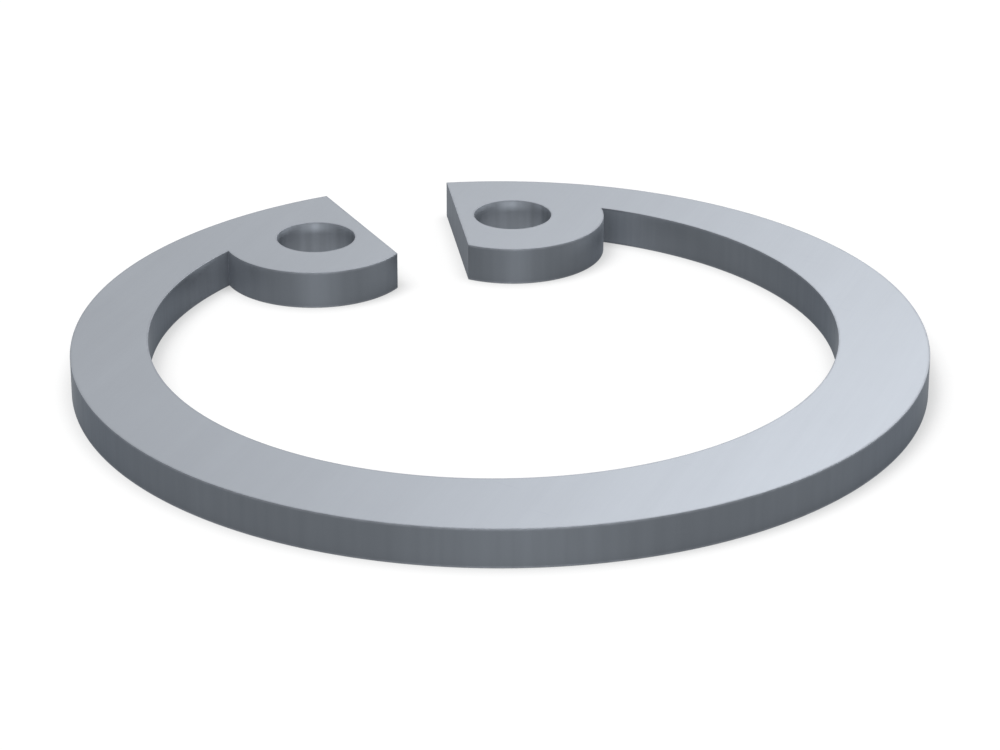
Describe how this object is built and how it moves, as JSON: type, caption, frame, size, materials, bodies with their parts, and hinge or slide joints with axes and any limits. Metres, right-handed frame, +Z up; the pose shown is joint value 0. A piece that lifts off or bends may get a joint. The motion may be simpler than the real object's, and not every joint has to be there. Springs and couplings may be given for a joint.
{
  "type": "internal retaining ring",
  "caption": "Flat open spring ring with a beam that tapers towards round lugs with plier holes beside its gap. It springs out into a groove in a bore to hold a bearing or pin.",
  "frame": {"origin": "centre of the rim, on the lower face", "axes": "+Z up through the thickness, +Y from the rim's centre to the middle of the gap, +X to the right"},
  "size_m": [0.0214, 0.0214, 0.001],
  "materials": {
    "spring_steel": "plain rolled spring steel: smooth pale faces, darker sheared edges and holes"
  },
  "bodies": {
    "root": {"retaining_ring": "spring_steel"}
  },
  "joints": []
}
